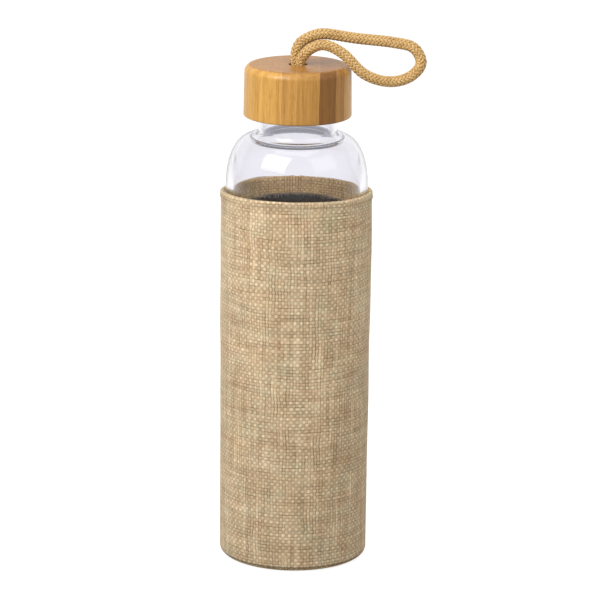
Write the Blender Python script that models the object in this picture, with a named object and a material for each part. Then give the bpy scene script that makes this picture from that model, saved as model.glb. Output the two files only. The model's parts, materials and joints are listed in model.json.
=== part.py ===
"""A glass water bottle in a woven fabric sleeve, with a turned bamboo screw cap and a braided cord loop.

Metres, +Z up. The origin is the centre of the sleeve's flat underside, and the cord loop lies towards +X.
The bottle lifts out of the sleeve, the cap unscrews on a right-hand thread, and the loop swivels and lifts.
"""

import math

import bmesh
import bpy
from mathutils import Vector

MM = 0.001
SEGMENTS = 48  # facets round every turned piece
GAP = 0.3 * MM  # clearance between pieces that rest on each other
SHARP_ANGLE = math.radians(35)  # edges that turn more than this are shaded sharp

# Sleeve: an outer fabric tube with a turned-in hem, a black lining, and a two-layer base.
SLEEVE_HEIGHT = 174.5 * MM
SLEEVE_RADIUS_TOP = 34.75 * MM
SLEEVE_RADIUS_BOTTOM = 34.1 * MM
SLEEVE_BORE = 33.35 * MM
RIM_FLARE = 0.3 * MM
RIM_FLARE_HEIGHT = 5.0 * MM
HEM_DEPTH = 9.7 * MM
HEM_STEP = 0.4 * MM  # height over which the hem's cut edge runs out to the tube's bore
HEM_BORE = 32.8 * MM
HEM_STITCH_DROP = 2.8 * MM  # from the crest of the rim down to the stitch line
BASE_CORNER_RADIUS = 3.0 * MM
BASE_DISH_HEIGHT = 1.7 * MM
TUBE_START = 2.6 * MM
FABRIC = 1.0 * MM
PIPING = 0.6 * MM  # thickness of the base's turned-up edge
THREAD_RADIUS = 0.28 * MM
STITCH_GROOVE = 0.45 * MM
LINING_OUTER = 33.15 * MM
LINING_BORE = 32.7 * MM
BASE_LINING = 0.5 * MM
LINING_GAP = 0.2 * MM
SEAM_WIDTH = 0.9 * MM
SEAM_START = TUBE_START + 2.0 * MM
SEAM_END = SLEEVE_HEIGHT - RIM_FLARE_HEIGHT - GAP
SEAM_SUNK = 0.25  # how far the seam's middle lies below the cloth, as a share of its width

# Glass bottle
GLASS_FLOOR = 2.1 * MM  # height of the foot ring above the sleeve's underside
GLASS_RADIUS = 32.4 * MM
GLASS_WALL = 3.2 * MM
GLASS_BASE = 5.0 * MM
GLASS_CORNER = 5.0 * MM
GLASS_INNER_CORNER = 4.0 * MM
PUSH_UP = 1.6 * MM
PUSH_UP_SHOULDER = (0.6, 0.75)  # where the underside levels off, as shares of the foot radius and the push-up
FOOT_RADIUS = 24.0 * MM
DOME_START = 175.3 * MM
DOME_TOP = 197.8 * MM
DOME_EXPONENT = 2.12  # a superellipse, a little squarer than a quarter ellipse
NECK_RADIUS = 18.4 * MM
NECK_BORE = 15.4 * MM
NECK_FILLET = 1.5 * MM
NECK_INNER_FILLET = 2.5 * MM
DOME_WALL = 3.0 * MM
RIM_HEIGHT = 215.2 * MM
LIP_ROUND = 0.6 * MM

# Screw thread, right hand
PITCH = 4.23 * MM
GLASS_THREAD_HEIGHT = 208.9 * MM
GLASS_THREAD_TURNS = 1.1
GLASS_THREAD_CREST = 19.5 * MM
LINER_THREAD_START = math.radians(160)
LINER_THREAD_TURNS = 1.05
LINER_THREAD_CREST = 18.8 * MM
THREAD_BASE = 2.4 * MM
THREAD_TIP = 0.9 * MM
THREAD_ROOT_DEPTH = 0.5 * MM  # how far a ridge is sunk into its wall
THREAD_STEPS = 44  # per turn
THREAD_RUN_OUT = math.radians(24)

# Bamboo cap and what it holds
CAP_BOTTOM = 206.85 * MM
CAP_TOP = 230.5 * MM
CAP_RADIUS_BOTTOM = 24.55 * MM
CAP_RADIUS_TOP = 24.25 * MM
CAP_TOP_FILLET = 3.4 * MM
CAP_BOTTOM_ROUND = 0.8 * MM
CAP_BORE = 21.5 * MM
CAP_BORE_TOP = 218.6 * MM
CAP_TOP_WALL = 5.0 * MM
KNOT_CAVITY_RADIUS = 7.6 * MM
CORD_HOLE = 4.3 * MM
CORD_HOLE_ROUND = 0.4 * MM
LINER_BOTTOM = 207.4 * MM
LINER_RADIUS = 21.2 * MM
LINER_BORE = 19.85 * MM
LINER_DISC = 1.4 * MM
LINER_TOP = CAP_BORE_TOP - GAP
SEAL_OUTER = 19.5 * MM
SEAL_INNER = 14.2 * MM
SEAL_THICKNESS = 1.4 * MM

# Cord: both ends pass down through the cap and are tied beneath it.
CORD_RADIUS = 2.6 * MM
CORD_RADIUS_IN_HOLE = 2.05 * MM
CORD_SIDES = 12
BALL_LATITUDES = [math.radians(a) for a in (22.5, 45.0, 67.5, 84.0)]  # rings of a half-sphere end
SWAY_HEIGHT = 2.6 * MM  # where the loop starts to tip, above the cap
FLEX_X = 5.5 * MM  # where the loop bends again, out along the arch
STATIONS_PER_SPAN = 5
KNOT_HEIGHT = 222.0 * MM
KNOT_SCALE = 1.9 * MM
KNOT_LIFT = 2.1 * MM
KNOT_TUBE = 1.15 * MM
KNOT_STATIONS = 60
KNOT_SIDES = 8
STRAND_OFFSET = Vector((1.0, -1.85, 0.0)) * MM  # from the hole's centre to the front strand

# The centre line of the loop, from the back strand's exit round to the front strand's, in millimetres
# from the centre of the cap's top.
LOOP_POINTS = (
    (-1.0, 1.85, -1.0),
    (-1.25, 2.3125, 2.6),
    (0.45, 2.6, 8.6),
    (5.5, 3.1, 12.0),
    (12.0, 3.8, 13.3),
    (26.0, 4.4, 11.3),
    (42.5, 3.4, 9.8),
    (52.0, 1.3, 7.8),
    (55.5, -0.8, 0.9),
    (50.0, -3.0, -5.0),
    (40.5, -4.6, -6.7),
    (29.8, -6.2, -3.0),
    (20.3, -5.2, 5.8),
    (12.0, -3.6, 9.5),
    (5.5, -3.0, 7.5),
    (1.25, -2.3125, 2.6),
    (1.0, -1.85, -1.0),
)
BACK_SWAY, BACK_FLEX, FRONT_FLEX, FRONT_SWAY = 1, 3, 14, 15  # places in LOOP_POINTS


def finish(name, colour, roughness, transmission=0.0):
    """A Principled material."""
    made = bpy.data.materials.new(name)
    made.use_nodes = True
    shader = made.node_tree.nodes["Principled BSDF"]
    shader.inputs["Base Color"].default_value = (*colour, 1.0)
    shader.inputs["Roughness"].default_value = roughness
    shader.inputs["Metallic"].default_value = 0.0
    shader.inputs["Transmission Weight"].default_value = transmission
    return made


def add_object(name, bm, material, parent=None):
    """Turns the bmesh into a smooth-shaded object, its own origin at its parent's."""
    bmesh.ops.recalc_face_normals(bm, faces=bm.faces)
    mesh = bpy.data.meshes.new(name)
    if parent:
        bm.transform(parent.matrix_world.inverted())
    bm.to_mesh(mesh)
    bm.free()
    mesh.shade_smooth()
    mesh.set_sharp_from_angle(angle=SHARP_ANGLE)
    mesh.materials.append(material)
    made = bpy.data.objects.new(name, mesh)
    made.parent = parent
    bpy.context.scene.collection.objects.link(made)
    return made


def add_pivot(name, place, parent=None):
    """An empty on a joint's axis, which the pieces that move with the joint hang from."""
    pivot = bpy.data.objects.new(name, None)
    pivot.empty_display_size = 10 * MM
    pivot.location = Vector(place) - (parent.matrix_world.translation if parent else Vector())
    pivot.parent = parent
    bpy.context.scene.collection.objects.link(pivot)
    bpy.context.view_layer.update()
    return pivot


def combine(target, tool, operation):
    """Unites the tool's solid with the target's, or takes it out of the target's, and removes the tool."""
    boolean = target.modifiers.new("boolean", "BOOLEAN")
    boolean.operation = operation
    boolean.solver = "EXACT"
    boolean.object = tool
    bpy.context.view_layer.update()
    graph = bpy.context.evaluated_depsgraph_get()
    made = bpy.data.meshes.new_from_object(target.evaluated_get(graph))
    target.modifiers.clear()
    target.data = made
    made.shade_smooth()
    made.set_sharp_from_angle(angle=SHARP_ANGLE)
    bpy.data.objects.remove(tool)


def arc(centre_radius, centre_height, radius, start, end, steps):
    """Points of (radius, height) along a circular arc, angles in degrees from the outward direction."""
    turns = [math.radians(start + (end - start) * i / steps) for i in range(steps + 1)]
    return [(centre_radius + radius * math.cos(a), centre_height + radius * math.sin(a)) for a in turns]


def dome(top_radius, top_height, side_radius, side_height, steps):
    """Points of a superellipse shoulder, from the flat top out and down to the upright side."""
    power = 2 / DOME_EXPONENT
    turns = [math.pi / 2 * i / steps for i in range(steps + 1)]
    return [
        (
            top_radius + (side_radius - top_radius) * math.sin(a) ** power,
            side_height + (top_height - side_height) * max(math.cos(a), 0.0) ** power,
        )
        for a in turns
    ]


def lathe(name, outline, material, parent=None):
    """Turns an outline of (radius, height) points about +Z. Its ends meet, or both lie on the axis."""
    bm = bmesh.new()
    points = [bm.verts.new((radius, 0.0, height)) for radius, height in outline]
    open_outline = outline[0][0] == 0 and outline[-1][0] == 0
    ends = points[1:] if open_outline else points[1:] + points[:1]
    edges = [bm.edges.new(pair) for pair in zip(points, ends)]
    bmesh.ops.spin(
        bm,
        geom=points + edges,
        cent=(0, 0, 0),
        axis=(0, 0, 1),
        angle=2 * math.pi,
        steps=SEGMENTS,
        use_merge=True,
    )
    bmesh.ops.remove_doubles(bm, verts=bm.verts, dist=0.001 * MM)
    return add_object(name, bm, material, parent)


def ring(name, ring_radius, height, section_radius, material, sides=6):
    """A round ring, such as a thread that runs all the way round."""
    outline = arc(ring_radius, height, section_radius, 0, 360, sides)[:-1]
    return lathe(name, outline, material)


def skin(bm, rings, closed):
    """Faces between neighbouring rings of vertices, and over both ends unless the last joins the first."""
    for here, there in zip(rings, rings[1:] + rings[:1] if closed else rings[1:]):
        for a, b, c, d in zip(here, here[1:] + here[:1], there[1:] + there[:1], there):
            bm.faces.new((a, b, c, d))
    if not closed:
        bm.faces.new(rings[0])
        bm.faces.new(rings[-1])


def thread_ridge(name, wall, crest, start_height, start_angle, turns, material, parent):
    """A helical ridge of trapezoid section, from a little inside a wall's surface out to its crest."""
    outward = 1 if crest > wall else -1
    steps = round(THREAD_STEPS * turns)
    bm = bmesh.new()
    rings = []
    for i in range(steps + 1):
        swept = 2 * math.pi * turns * i / steps
        from_end = min(swept, 2 * math.pi * turns - swept)
        rise = min(1.0, 0.1 + from_end / THREAD_RUN_OUT)
        angle = start_angle + swept
        height = start_height + PITCH * angle / (2 * math.pi)
        root = wall - outward * THREAD_ROOT_DEPTH
        tip = wall + rise * (crest - wall)
        section = (
            (root, -THREAD_BASE / 2),
            (root, THREAD_BASE / 2),
            (tip, THREAD_TIP / 2),
            (tip, -THREAD_TIP / 2),
        )
        direction = Vector((math.cos(angle), math.sin(angle), 0))
        rings.append([bm.verts.new(direction * r + Vector((0, 0, height + z))) for r, z in section])
    skin(bm, rings, closed=False)
    return add_object(name, bm, material, parent)


def spline(points, place):
    """A point of the smooth curve through the points. A whole number is the point of that index."""
    index = min(max(math.floor(place), 0), len(points) - 2)
    t = place - index
    b, c = points[index], points[index + 1]
    a = points[index - 1] if index else 2 * b - c
    d = points[index + 2] if index + 2 < len(points) else 2 * c - b
    return 0.5 * (2 * b + (c - a) * t + (2 * a - 5 * b + 4 * c - d) * t**2 + (3 * b - a - 3 * c + d) * t**3)


def stretch(points, first, last):
    """Stations along the curve between two of its places."""
    steps = round(STATIONS_PER_SPAN * (last - first))
    return [spline(points, first + (last - first) * i / steps) for i in range(steps + 1)]


def round_bar(bm, centres, radius, ball_start=False, ball_end=False):
    """A bar of round section along the centres. A ball end is a half sphere centred on the end station."""
    tangents = [
        (centres[min(i + 1, len(centres) - 1)] - centres[max(i - 1, 0)]).normalized()
        for i in range(len(centres))
    ]
    stations = [(place, along, radius) for place, along in zip(centres, tangents)]
    if ball_start:
        place, along, _ = stations[0]
        cap = [(place - along * radius * math.sin(a), along, radius * math.cos(a)) for a in BALL_LATITUDES]
        stations = cap[::-1] + stations
    if ball_end:
        place, along, _ = stations[-1]
        cap = [(place + along * radius * math.sin(a), along, radius * math.cos(a)) for a in BALL_LATITUDES]
        stations = stations + cap
    side = stations[0][1].orthogonal().normalized()
    rings = []
    for place, along, size in stations:
        side = (side - along * side.dot(along)).normalized()
        other = along.cross(side)
        turns = [2 * math.pi * k / CORD_SIDES for k in range(CORD_SIDES)]
        rings.append(
            [bm.verts.new(place + size * (math.cos(a) * side + math.sin(a) * other)) for a in turns]
        )
    skin(bm, rings, closed=False)


def cord_bar(name, centres, radius, material, parent, ball_start=False, ball_end=False):
    """One length of cord as an object."""
    bm = bmesh.new()
    round_bar(bm, centres, radius, ball_start, ball_end)
    return add_object(name, bm, material, parent)


def shortened(centres, cut_back):
    """The stations, ending cut_back before the last one, measured straight."""
    last = centres[-1]
    kept = [place for place in centres if (place - last).length > cut_back + 0.2 * MM]
    return kept + [last + (kept[-1] - last).normalized() * cut_back]


def build_sleeve(fabric, lining, thread):
    """The fabric tube and its hem, the base, the lining and the stitching."""
    crest_radius = (SLEEVE_RADIUS_TOP + RIM_FLARE - HEM_BORE) / 2
    crest_middle = HEM_BORE + crest_radius
    crest_height = SLEEVE_HEIGHT - crest_radius
    stitch = SLEEVE_HEIGHT - HEM_STITCH_DROP
    flare_start = SLEEVE_HEIGHT - RIM_FLARE_HEIGHT
    stitch_radius = SLEEVE_RADIUS_TOP + RIM_FLARE * (stitch - flare_start) / RIM_FLARE_HEIGHT
    hem_edge = SLEEVE_HEIGHT - HEM_DEPTH
    corner = (SLEEVE_RADIUS_BOTTOM - BASE_CORNER_RADIUS, BASE_CORNER_RADIUS)
    tube_turn = math.degrees(math.asin(TUBE_START / BASE_CORNER_RADIUS - 1))
    dish_turn = math.degrees(math.asin(BASE_DISH_HEIGHT / BASE_CORNER_RADIUS - 1))

    outline = [(SLEEVE_BORE, TUBE_START)]
    outline += arc(*corner, BASE_CORNER_RADIUS, tube_turn, 0, 1)
    outline += [
        (SLEEVE_RADIUS_TOP, flare_start),
        (stitch_radius, stitch - STITCH_GROOVE),
        (stitch_radius - STITCH_GROOVE, stitch - STITCH_GROOVE),
        (stitch_radius - STITCH_GROOVE, stitch + STITCH_GROOVE),
        (stitch_radius, stitch + STITCH_GROOVE),
    ]
    outline += arc(crest_middle, crest_height, crest_radius, 0, 180, 6)
    outline += [(HEM_BORE, hem_edge), (SLEEVE_BORE, hem_edge - HEM_STEP)]
    tube = lathe("sleeve_fabric", outline, fabric)
    combine(tube, seam_bar("seam_groove", GAP, fabric), "DIFFERENCE")
    seam_bar("side_seam_stitching", 0.0, thread)

    outline = [(0.0, 0.0)]
    outline += arc(*corner, BASE_CORNER_RADIUS, -90, dish_turn, 4)
    outline += arc(*corner, BASE_CORNER_RADIUS - PIPING, dish_turn, -80, 2)
    outline += [(corner[0] - FABRIC, FABRIC), (0.0, FABRIC)]
    lathe("sleeve_base", outline, fabric)
    thread_height = (BASE_DISH_HEIGHT + TUBE_START) / 2
    ring("base_stitching", SLEEVE_RADIUS_BOTTOM - THREAD_RADIUS, thread_height, THREAD_RADIUS, thread)
    ring("hem_stitching", stitch_radius - THREAD_RADIUS / 2, stitch, THREAD_RADIUS, thread)

    lining_floor = FABRIC + LINING_GAP
    lining_start = lining_floor + BASE_LINING + LINING_GAP
    lining_top = hem_edge - HEM_STEP - GAP
    lathe(
        "sleeve_lining",
        [
            (LINING_BORE, lining_start),
            (LINING_OUTER, lining_start),
            (LINING_OUTER, lining_top),
            (LINING_BORE, lining_top),
        ],
        lining,
    )
    base_edge = corner[0]
    lathe(
        "sleeve_base_lining",
        [
            (0.0, lining_floor),
            (base_edge, lining_floor),
            (base_edge, lining_floor + BASE_LINING),
            (0.0, lining_floor + BASE_LINING),
        ],
        lining,
    )


def seam_bar(name, margin, material):
    """An upright bar at the back of the sleeve, half sunk into it, leaning with the sleeve's taper.

    The margin is added on every side.
    """
    width = SEAM_WIDTH + 2 * margin
    height = SEAM_END - SEAM_START + 2 * margin
    slope = (SLEEVE_RADIUS_TOP - SLEEVE_RADIUS_BOTTOM) / (SLEEVE_HEIGHT - BASE_CORNER_RADIUS)
    bm = bmesh.new()
    bmesh.ops.create_cube(bm, size=1.0)
    for vert in bm.verts:
        z = SEAM_START - margin + (vert.co.z + 0.5) * height
        depth = SLEEVE_RADIUS_BOTTOM + slope * z + (vert.co.y - SEAM_SUNK) * width
        vert.co = (vert.co.x * width, depth, z)
    return add_object(name, bm, material)


def build_bottle(glass, parent):
    """The blown bottle: foot, body, domed shoulder and threaded neck, hollow and open at the top."""
    floor = GLASS_FLOOR
    inner = GLASS_RADIUS - GLASS_WALL
    inner_floor = floor + GLASS_BASE
    inner_dome_top = DOME_TOP - DOME_WALL
    level = (FOOT_RADIUS * PUSH_UP_SHOULDER[0], floor + PUSH_UP * PUSH_UP_SHOULDER[1])
    outline = [(0.0, floor + PUSH_UP), level, (FOOT_RADIUS, floor)]
    outline += arc(GLASS_RADIUS - GLASS_CORNER, floor + GLASS_CORNER, GLASS_CORNER, -90, 0, 4)
    shoulder = dome(NECK_RADIUS + NECK_FILLET, DOME_TOP, GLASS_RADIUS, DOME_START, 9)
    outline += shoulder[::-1]
    outline += arc(NECK_RADIUS + NECK_FILLET, DOME_TOP + NECK_FILLET, NECK_FILLET, -90, -180, 3)[1:]
    outline += arc(NECK_RADIUS - LIP_ROUND, RIM_HEIGHT - LIP_ROUND, LIP_ROUND, 0, 90, 2)
    outline += arc(NECK_BORE + LIP_ROUND, RIM_HEIGHT - LIP_ROUND, LIP_ROUND, 90, 180, 2)
    bore_round = NECK_BORE + NECK_INNER_FILLET
    outline += arc(bore_round, inner_dome_top + NECK_INNER_FILLET, NECK_INNER_FILLET, 180, 270, 3)
    outline += dome(bore_round, inner_dome_top, inner, DOME_START, 8)[1:]
    corner = (inner - GLASS_INNER_CORNER, inner_floor + GLASS_INNER_CORNER)
    outline += arc(*corner, GLASS_INNER_CORNER, 0, -90, 3)
    outline += [(0.0, inner_floor + PUSH_UP / 2)]
    bottle = lathe("glass_bottle", outline, glass, parent)
    ridge = thread_ridge(
        "glass_thread",
        NECK_RADIUS,
        GLASS_THREAD_CREST,
        GLASS_THREAD_HEIGHT,
        0.0,
        GLASS_THREAD_TURNS,
        glass,
        parent,
    )
    combine(bottle, ridge, "UNION")


def build_seal(rubber, parent):
    """The flat silicone ring that the glass rim presses against."""
    low = RIM_HEIGHT + GAP / 2
    high = low + SEAL_THICKNESS
    outline = [(SEAL_INNER, low), (SEAL_OUTER, low), (SEAL_OUTER, high), (SEAL_INNER, high)]
    lathe("seal_ring", outline, rubber, parent)


def build_cap(bamboo, plastic, parent):
    """The turned bamboo cap, bored for the cord, the knot and the liner, and the threaded liner itself."""
    cavity_top = CAP_TOP - CAP_TOP_WALL
    hole_edge = CAP_TOP - CORD_HOLE_ROUND
    outline = [(CORD_HOLE, cavity_top)]
    outline += arc(CORD_HOLE + CORD_HOLE_ROUND, hole_edge, CORD_HOLE_ROUND, 180, 90, 2)
    outline += arc(CAP_RADIUS_TOP - CAP_TOP_FILLET, CAP_TOP - CAP_TOP_FILLET, CAP_TOP_FILLET, 90, 0, 5)
    bottom_round = (CAP_RADIUS_BOTTOM - CAP_BOTTOM_ROUND, CAP_BOTTOM + CAP_BOTTOM_ROUND)
    outline += arc(*bottom_round, CAP_BOTTOM_ROUND, 0, -90, 2)
    outline += [
        (CAP_BORE, CAP_BOTTOM),
        (CAP_BORE, CAP_BORE_TOP),
        (KNOT_CAVITY_RADIUS, CAP_BORE_TOP),
        (KNOT_CAVITY_RADIUS, cavity_top),
    ]
    lathe("bamboo_cap", outline, bamboo, parent)

    disc_under = LINER_TOP - LINER_DISC
    outline = [
        (0.0, LINER_TOP),
        (LINER_RADIUS, LINER_TOP),
        (LINER_RADIUS, LINER_BOTTOM),
        (LINER_BORE, LINER_BOTTOM),
        (LINER_BORE, disc_under),
        (0.0, disc_under),
    ]
    liner = lathe("cap_liner", outline, plastic, parent)
    ridge = thread_ridge(
        "liner_thread",
        LINER_BORE,
        LINER_THREAD_CREST,
        GLASS_THREAD_HEIGHT - PITCH / 2,
        LINER_THREAD_START,
        LINER_THREAD_TURNS,
        plastic,
        parent,
    )
    combine(liner, ridge, "UNION")


def build_knot(cord, parent):
    """The overhand knot under the cap's top wall, with both strands rising from it through the hole."""
    bm = bmesh.new()
    rings = []
    for i in range(KNOT_STATIONS):
        t = 2 * math.pi * i / KNOT_STATIONS
        place = Vector((math.sin(t) + 2 * math.sin(2 * t), math.cos(t) - 2 * math.cos(2 * t), 0))
        along = Vector((math.cos(t) + 4 * math.cos(2 * t), -math.sin(t) + 4 * math.sin(2 * t), 0))
        place *= KNOT_SCALE
        along *= KNOT_SCALE
        place.z = -KNOT_LIFT * math.sin(3 * t)
        along.z = -3 * KNOT_LIFT * math.cos(3 * t)
        side = place.cross(along).normalized()
        other = along.normalized().cross(side)
        turns = [2 * math.pi * k / KNOT_SIDES for k in range(KNOT_SIDES)]
        middle = place + Vector((0, 0, KNOT_HEIGHT))
        rings.append(
            [bm.verts.new(middle + KNOT_TUBE * (math.cos(a) * side + math.sin(a) * other)) for a in turns]
        )
    skin(bm, rings, closed=True)
    knot = add_object("cord_knot", bm, cord, parent)
    top = Vector((0, 0, CAP_TOP + SWAY_HEIGHT - CORD_RADIUS - GAP))
    bottom = Vector((0, 0, KNOT_HEIGHT - KNOT_LIFT))
    for side in (-1, 1):
        offset = STRAND_OFFSET * side
        stub = cord_bar("stub", [bottom + offset, top + offset], CORD_RADIUS_IN_HOLE, cord, parent)
        combine(knot, stub, "UNION")


def build_cord(cord, anchor, sway, flex):
    """The knot, the two strands that rise from the hole, and the loop beyond the place where they bend."""
    points = [Vector(place) * MM + Vector((0, 0, CAP_TOP)) for place in LOOP_POINTS]
    build_knot(cord, anchor)
    cut_back = CORD_RADIUS + GAP
    back = shortened(stretch(points, BACK_SWAY, BACK_FLEX), cut_back)
    front = shortened(stretch(points, FRONT_FLEX, FRONT_SWAY)[::-1], cut_back)
    cord_bar("cord_back_strand", back, CORD_RADIUS, cord, sway, ball_start=True)
    cord_bar("cord_front_strand", front, CORD_RADIUS, cord, sway, ball_start=True)
    bight = stretch(points, BACK_FLEX, FRONT_FLEX)
    cord_bar("cord_loop", bight, CORD_RADIUS, cord, flex, ball_start=True, ball_end=True)


def build():
    """The whole object, one parent empty on each joint's axis."""
    for old in list(bpy.data.objects):
        bpy.data.objects.remove(old)
    fabric = finish("woven_fabric", (0.45, 0.36, 0.24), 0.9)
    lining = finish("black_lining", (0.02, 0.018, 0.016), 0.85)
    thread = finish("sewing_thread", (0.36, 0.28, 0.17), 0.8)
    glass = finish("clear_glass", (0.93, 0.94, 0.96), 0.02, transmission=1.0)
    rubber = finish("silicone", (0.75, 0.75, 0.73), 0.5)
    bamboo = finish("bamboo", (0.55, 0.32, 0.13), 0.45)
    plastic = finish("liner_plastic", (0.8, 0.8, 0.78), 0.4)
    cord = finish("braided_cord", (0.62, 0.38, 0.14), 0.8)

    cap_middle = (0, 0, CAP_TOP)
    lift = add_pivot("bottle_lift", (0, 0, GLASS_FLOOR))
    rise = add_pivot("cap_rise", (0, 0, RIM_HEIGHT), lift)
    turn = add_pivot("cap_turn", cap_middle, rise)
    swivel = add_pivot("cord_swivel", cap_middle, turn)
    sway = add_pivot("cord_sway", (0, 0, CAP_TOP + SWAY_HEIGHT), swivel)
    bend = Vector(LOOP_POINTS[BACK_FLEX]) * MM
    flex = add_pivot("cord_flex", (FLEX_X, 0, CAP_TOP + bend.z), sway)

    build_sleeve(fabric, lining, thread)
    build_bottle(glass, lift)
    build_seal(rubber, rise)
    build_cap(bamboo, plastic, turn)
    build_cord(cord, swivel, sway, flex)


build()
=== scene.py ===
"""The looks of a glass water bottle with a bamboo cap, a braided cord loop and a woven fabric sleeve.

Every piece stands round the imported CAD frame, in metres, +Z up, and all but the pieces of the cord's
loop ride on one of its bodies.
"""
import json
import math

import bpy
import numpy as np
from mathutils import Matrix, Vector

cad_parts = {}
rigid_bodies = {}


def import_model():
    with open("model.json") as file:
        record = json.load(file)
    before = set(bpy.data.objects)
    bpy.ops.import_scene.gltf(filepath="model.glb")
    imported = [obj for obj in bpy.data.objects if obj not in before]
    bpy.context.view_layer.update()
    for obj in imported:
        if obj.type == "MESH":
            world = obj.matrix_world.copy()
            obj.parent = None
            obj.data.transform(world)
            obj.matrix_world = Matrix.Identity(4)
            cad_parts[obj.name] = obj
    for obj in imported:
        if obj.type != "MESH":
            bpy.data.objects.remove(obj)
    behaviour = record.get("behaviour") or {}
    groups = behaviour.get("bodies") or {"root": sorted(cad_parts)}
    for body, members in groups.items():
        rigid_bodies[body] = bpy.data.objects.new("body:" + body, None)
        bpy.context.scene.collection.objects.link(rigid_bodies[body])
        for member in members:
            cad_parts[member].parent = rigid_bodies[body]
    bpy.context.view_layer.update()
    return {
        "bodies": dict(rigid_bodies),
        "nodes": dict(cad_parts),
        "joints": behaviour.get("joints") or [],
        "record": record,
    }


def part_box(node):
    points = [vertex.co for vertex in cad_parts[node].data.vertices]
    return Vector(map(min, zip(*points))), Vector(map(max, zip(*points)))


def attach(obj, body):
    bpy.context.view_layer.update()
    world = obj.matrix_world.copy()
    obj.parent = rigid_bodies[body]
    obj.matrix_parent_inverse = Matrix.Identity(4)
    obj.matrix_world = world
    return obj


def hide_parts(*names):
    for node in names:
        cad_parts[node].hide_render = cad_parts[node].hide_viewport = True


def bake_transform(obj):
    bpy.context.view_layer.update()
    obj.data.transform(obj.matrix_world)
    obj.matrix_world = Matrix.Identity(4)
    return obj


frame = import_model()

MM = 0.001
SLEEVE_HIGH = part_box("sleeve_fabric")[1]
GLASS_LOW, GLASS_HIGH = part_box("glass_bottle")
CAP_LOW, CAP_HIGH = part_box("bamboo_cap")
LINER_LOW, LINER_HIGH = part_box("cap_liner")
SEAL_LOW, SEAL_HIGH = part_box("seal_ring")
LINING_LOW, LINING_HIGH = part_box("sleeve_lining")

# Cloth of the sleeve: a plain weave.
WARP_YARNS = 150  # round the sleeve
WEFT = 1.5 * MM  # from one weft yarn to the next
WEAVE_RELIEF = 0.16 * MM
HEM_BORE = 32.88 * MM
HEM_EDGE = LINING_HIGH.z + 0.5 * MM
SLEEVE_BORE = 33.4 * MM
SLEEVE_TAPER = 0.65 * MM  # how much smaller its radius is at the foot
BASE_CORNER = 3.0 * MM
SEAM_HEIGHT = 2.2 * MM
RIM_DIP = 3.7 * MM  # how far the rim sinks at the back
RIM_SLACK = 0.18 * MM  # how far it sinks all round, on average
RIM_SOFT = 22.0 * MM  # how far down the cloth follows the rim
STITCH_DROP = 2.9 * MM  # from the rim down to the hem stitches

# Glass
HAIR = 0.05 * MM  # a turned outline ends this near the axis, and a point this near a wall is on it
SIDE_WALL = 3.2 * MM
GLASS_BASE = 5.0 * MM
GLASS_CORNER = 5.0 * MM
PUSH_UP = 1.6 * MM
FOOT_RADIUS = 24.0 * MM
DOME_START = 175.3 * MM
DOME_TOP = 197.8 * MM
DOME_EXPONENT = 2.12
NECK_RADIUS = 18.4 * MM
NECK_BORE = 15.4 * MM
NECK_FILLET = 2.4 * MM
DOME_WALL = 2.2 * MM
LIP_ROUND = 1.0 * MM
PITCH = 4.23 * MM
THREAD_STEP = 0.35 * MM  # between the rings of points of a threaded wall
GLASS_THREAD_HEIGHT = 208.9 * MM
GLASS_THREAD_CREST = 19.5 * MM

# Bamboo cap
CAP_TOP_RADIUS = 24.25 * MM
CAP_FILLET = 3.4 * MM
CAP_BOTTOM_ROUND = 0.8 * MM
CAP_BORE = 21.5 * MM
CAP_BORE_TOP = 218.6 * MM
CAP_TOP_WALL = 5.0 * MM
KNOT_CAVITY = 7.6 * MM
CORD_HOLE = 4.5 * MM
LINER_BORE = 19.85 * MM
LINER_THREAD_CREST = 18.8 * MM
SEAL_INNER = 14.2 * MM
# The cap's laminations: where each ends across the cap, in millimetres, and its tone. The tones are partly
# the bamboo's own and partly painted light: darker towards the right side as painted shade, and lighter
# again at the right edge as a painted rim light.
STRIPS = ((-13.2, 1.05), (-7.4, 1.04), (-0.6, 0.84), (9.6, 0.78), (17.3, 0.43), (21.0, 0.66), (25.0, 0.95))
STRIPS_START = -25.0

# Cord
BRAID_CARRIERS = 8  # each way round
BRAID_LAY = 14.6 * MM
BRAID_STEP = 0.22 * MM
CORE_RADIUS = 1.85 * MM
KNOT_SCALE = 1.9 * MM
KNOT_LIFT = 2.1 * MM
KNOT_HEIGHT = 222.0 * MM
# The cord's centre line from the knot, round the loop and back: millimetres from the middle of the cap's top.
LOOP_POINTS = (
    (-1.0, 1.85, -8.0),
    (-1.0, 1.85, -2.5),
    (-1.0, 1.85, -1.0),
    (-1.25, 2.3125, 2.6),
    (0.45, 2.6, 8.6),
    (5.5, 3.1, 12.0),
    (12.0, 3.8, 13.3),
    (26.0, 4.4, 11.3),
    (42.5, 3.4, 9.8),
    (52.0, 1.3, 7.8),
    (55.5, -0.8, 0.9),
    (50.0, -3.0, -5.0),
    (40.5, -4.6, -6.7),
    (29.8, -6.2, -3.0),
    (20.3, -5.2, 5.8),
    (12.0, -3.6, 9.5),
    (5.5, -3.0, 7.5),
    (1.25, -2.3125, 2.6),
    (1.0, -1.85, -1.0),
    (1.0, -1.85, -2.5),
    (1.0, -1.85, -8.0),
)


# ---------------------------------------------------------------- meshes


def unit(vectors):
    """The vectors, each divided by its own length."""
    return vectors / np.linalg.norm(vectors, axis=-1, keepdims=True)


def around(columns):
    """Evenly spaced angles round a full turn."""
    return 2 * math.pi * np.arange(columns) / columns


def eased(share):
    """The share kept between 0 and 1, with a soft start and end."""
    share = np.clip(share, 0, 1)
    return share * share * (3 - 2 * share)


def add_mesh(name, vertices, faces):
    """A new smooth-shaded object with these vertices and faces."""
    mesh = bpy.data.meshes.new(name)
    mesh.from_pydata(vertices.tolist(), [], faces)
    mesh.shade_smooth()
    made = bpy.data.objects.new(name, mesh)
    bpy.context.scene.collection.objects.link(made)
    return made


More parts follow.
